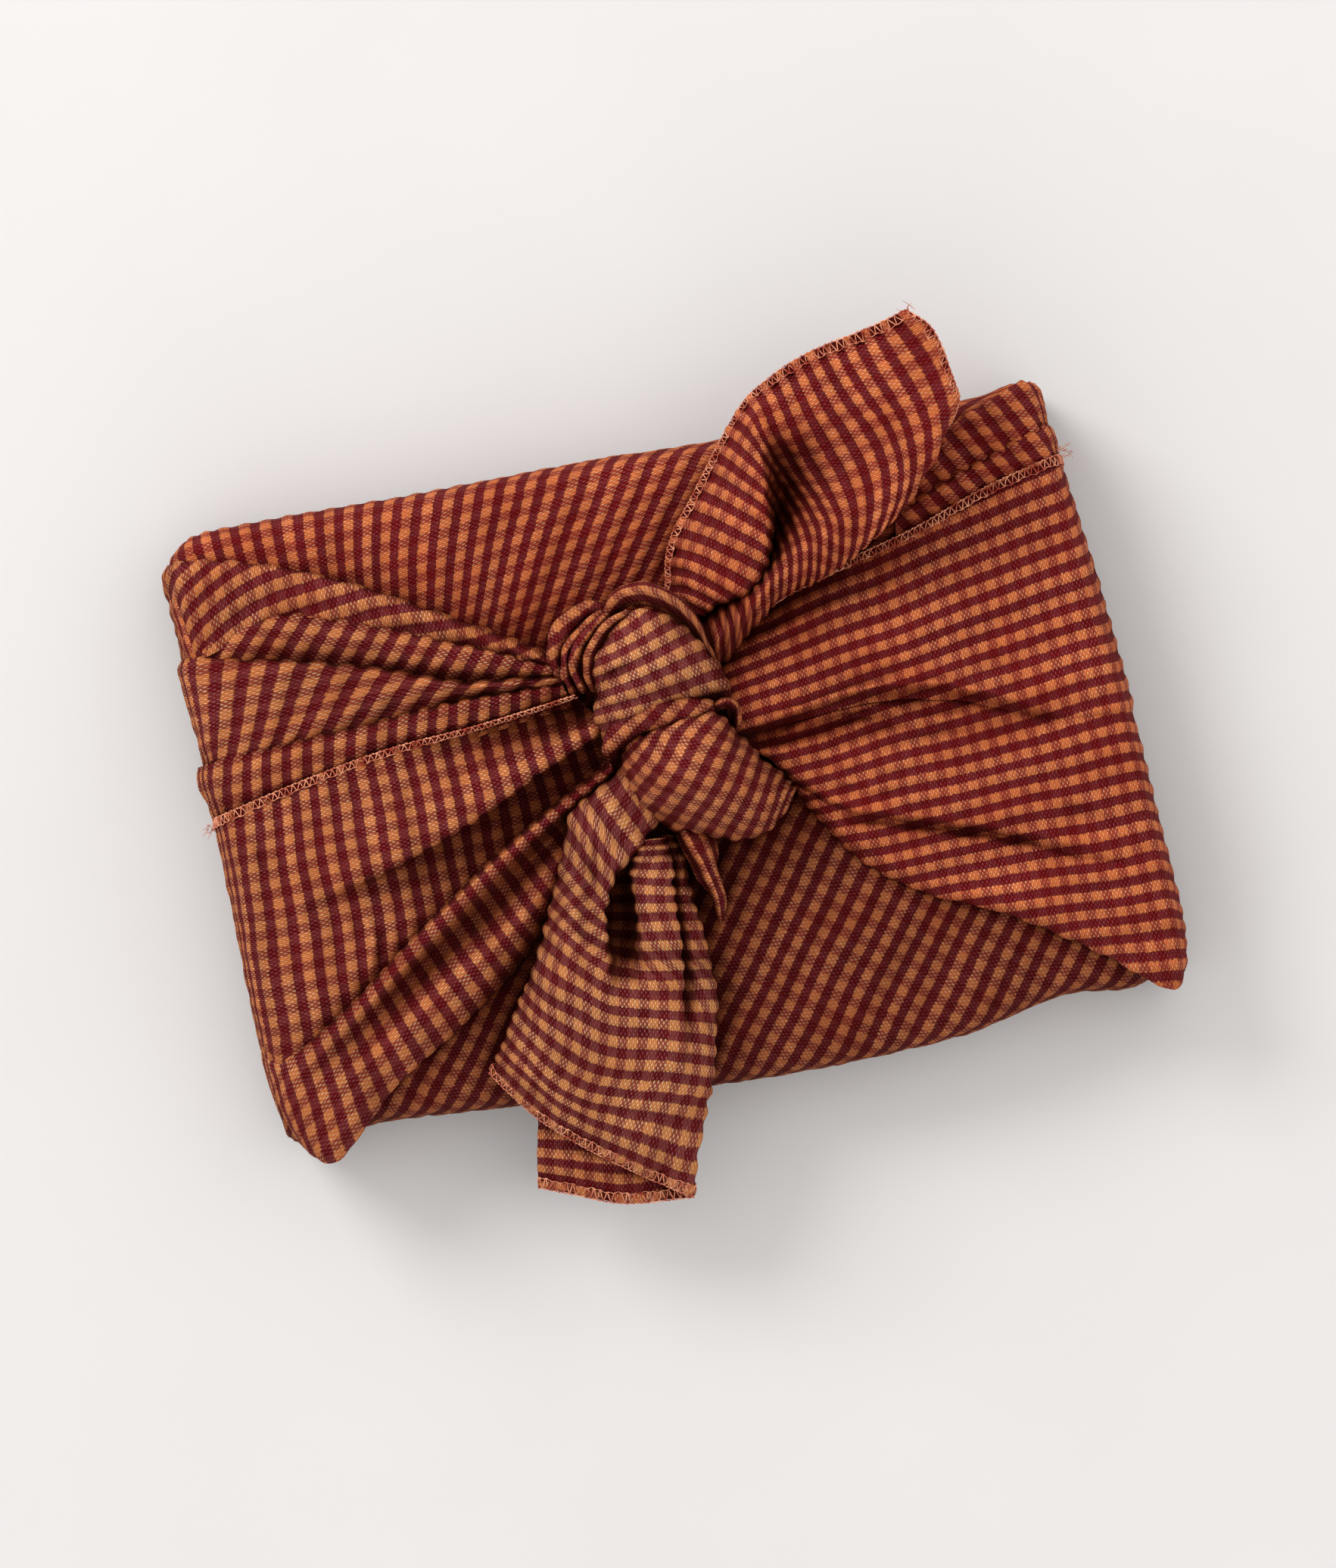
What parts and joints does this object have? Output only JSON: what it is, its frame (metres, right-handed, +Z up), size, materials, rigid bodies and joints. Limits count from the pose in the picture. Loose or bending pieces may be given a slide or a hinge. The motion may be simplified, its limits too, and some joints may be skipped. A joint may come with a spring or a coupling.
{
  "type": "furoshiki wrap",
  "caption": "Flat parcel wrapped in a striped, checked cotton cloth, folded over at both ends and knotted on top, with two free overlocked ends.",
  "frame": {"origin": "middle of the parcel's flat underside, on the surface it rests on", "axes": "+Z up, +X along the parcel's long side, +Y to its back, where the longer free end points"},
  "size_m": [0.2815, 0.244, 0.0733],
  "materials": {
    "cloth": "matt woven cotton check"
  },
  "bodies": {
    "root": {"furoshiki_wrap": "cloth"}
  },
  "joints": []
}
